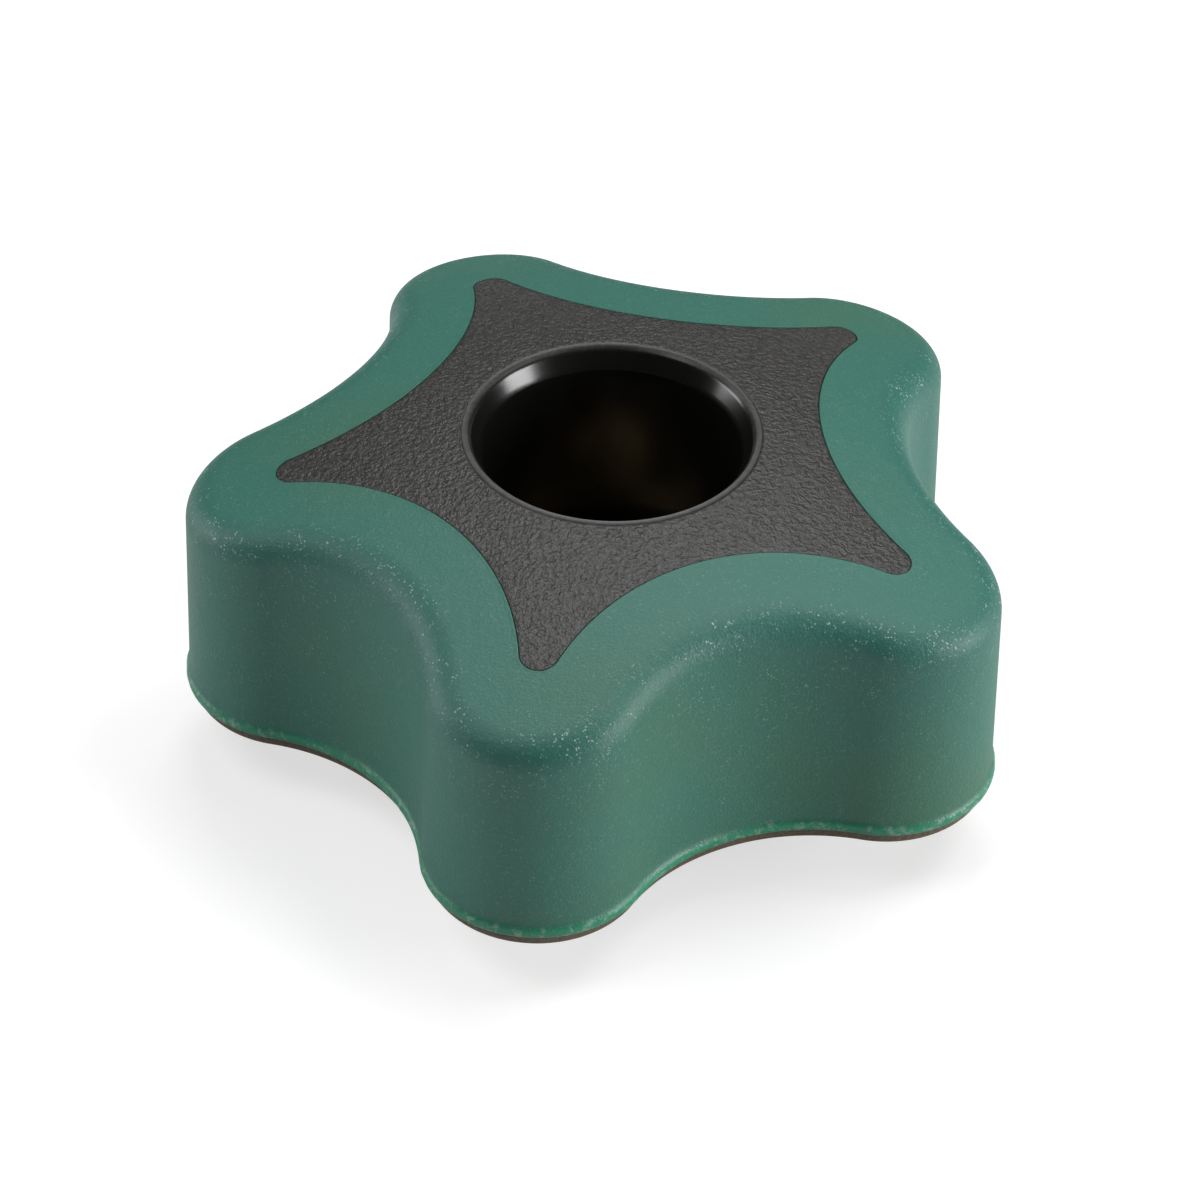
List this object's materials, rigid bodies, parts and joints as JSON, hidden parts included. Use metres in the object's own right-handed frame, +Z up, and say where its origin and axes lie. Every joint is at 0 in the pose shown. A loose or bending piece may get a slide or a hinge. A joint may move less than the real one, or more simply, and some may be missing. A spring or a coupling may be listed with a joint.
{
  "type": "star knob",
  "caption": "Five-lobed hand knob with a rigid core, a soft overmoulded grip, a deep well in its domed top and a threaded insert in its hub.",
  "frame": {"origin": "on the knob's axis, on the underside of the hub, where the thread's wall begins", "axes": "+Z up along the knob's axis, out of the well; one lobe points along -Y"},
  "size_m": [0.0584, 0.0562, 0.0254],
  "materials": {
    "core": "black moulded nylon, spark-eroded grain on the star, glossy in the well",
    "grip": "matt soft-touch green overmould with fine grain",
    "insert": "machined brass"
  },
  "bodies": {
    "root": {"core": "core", "grip": "grip", "threaded_insert": "insert"}
  },
  "joints": []
}
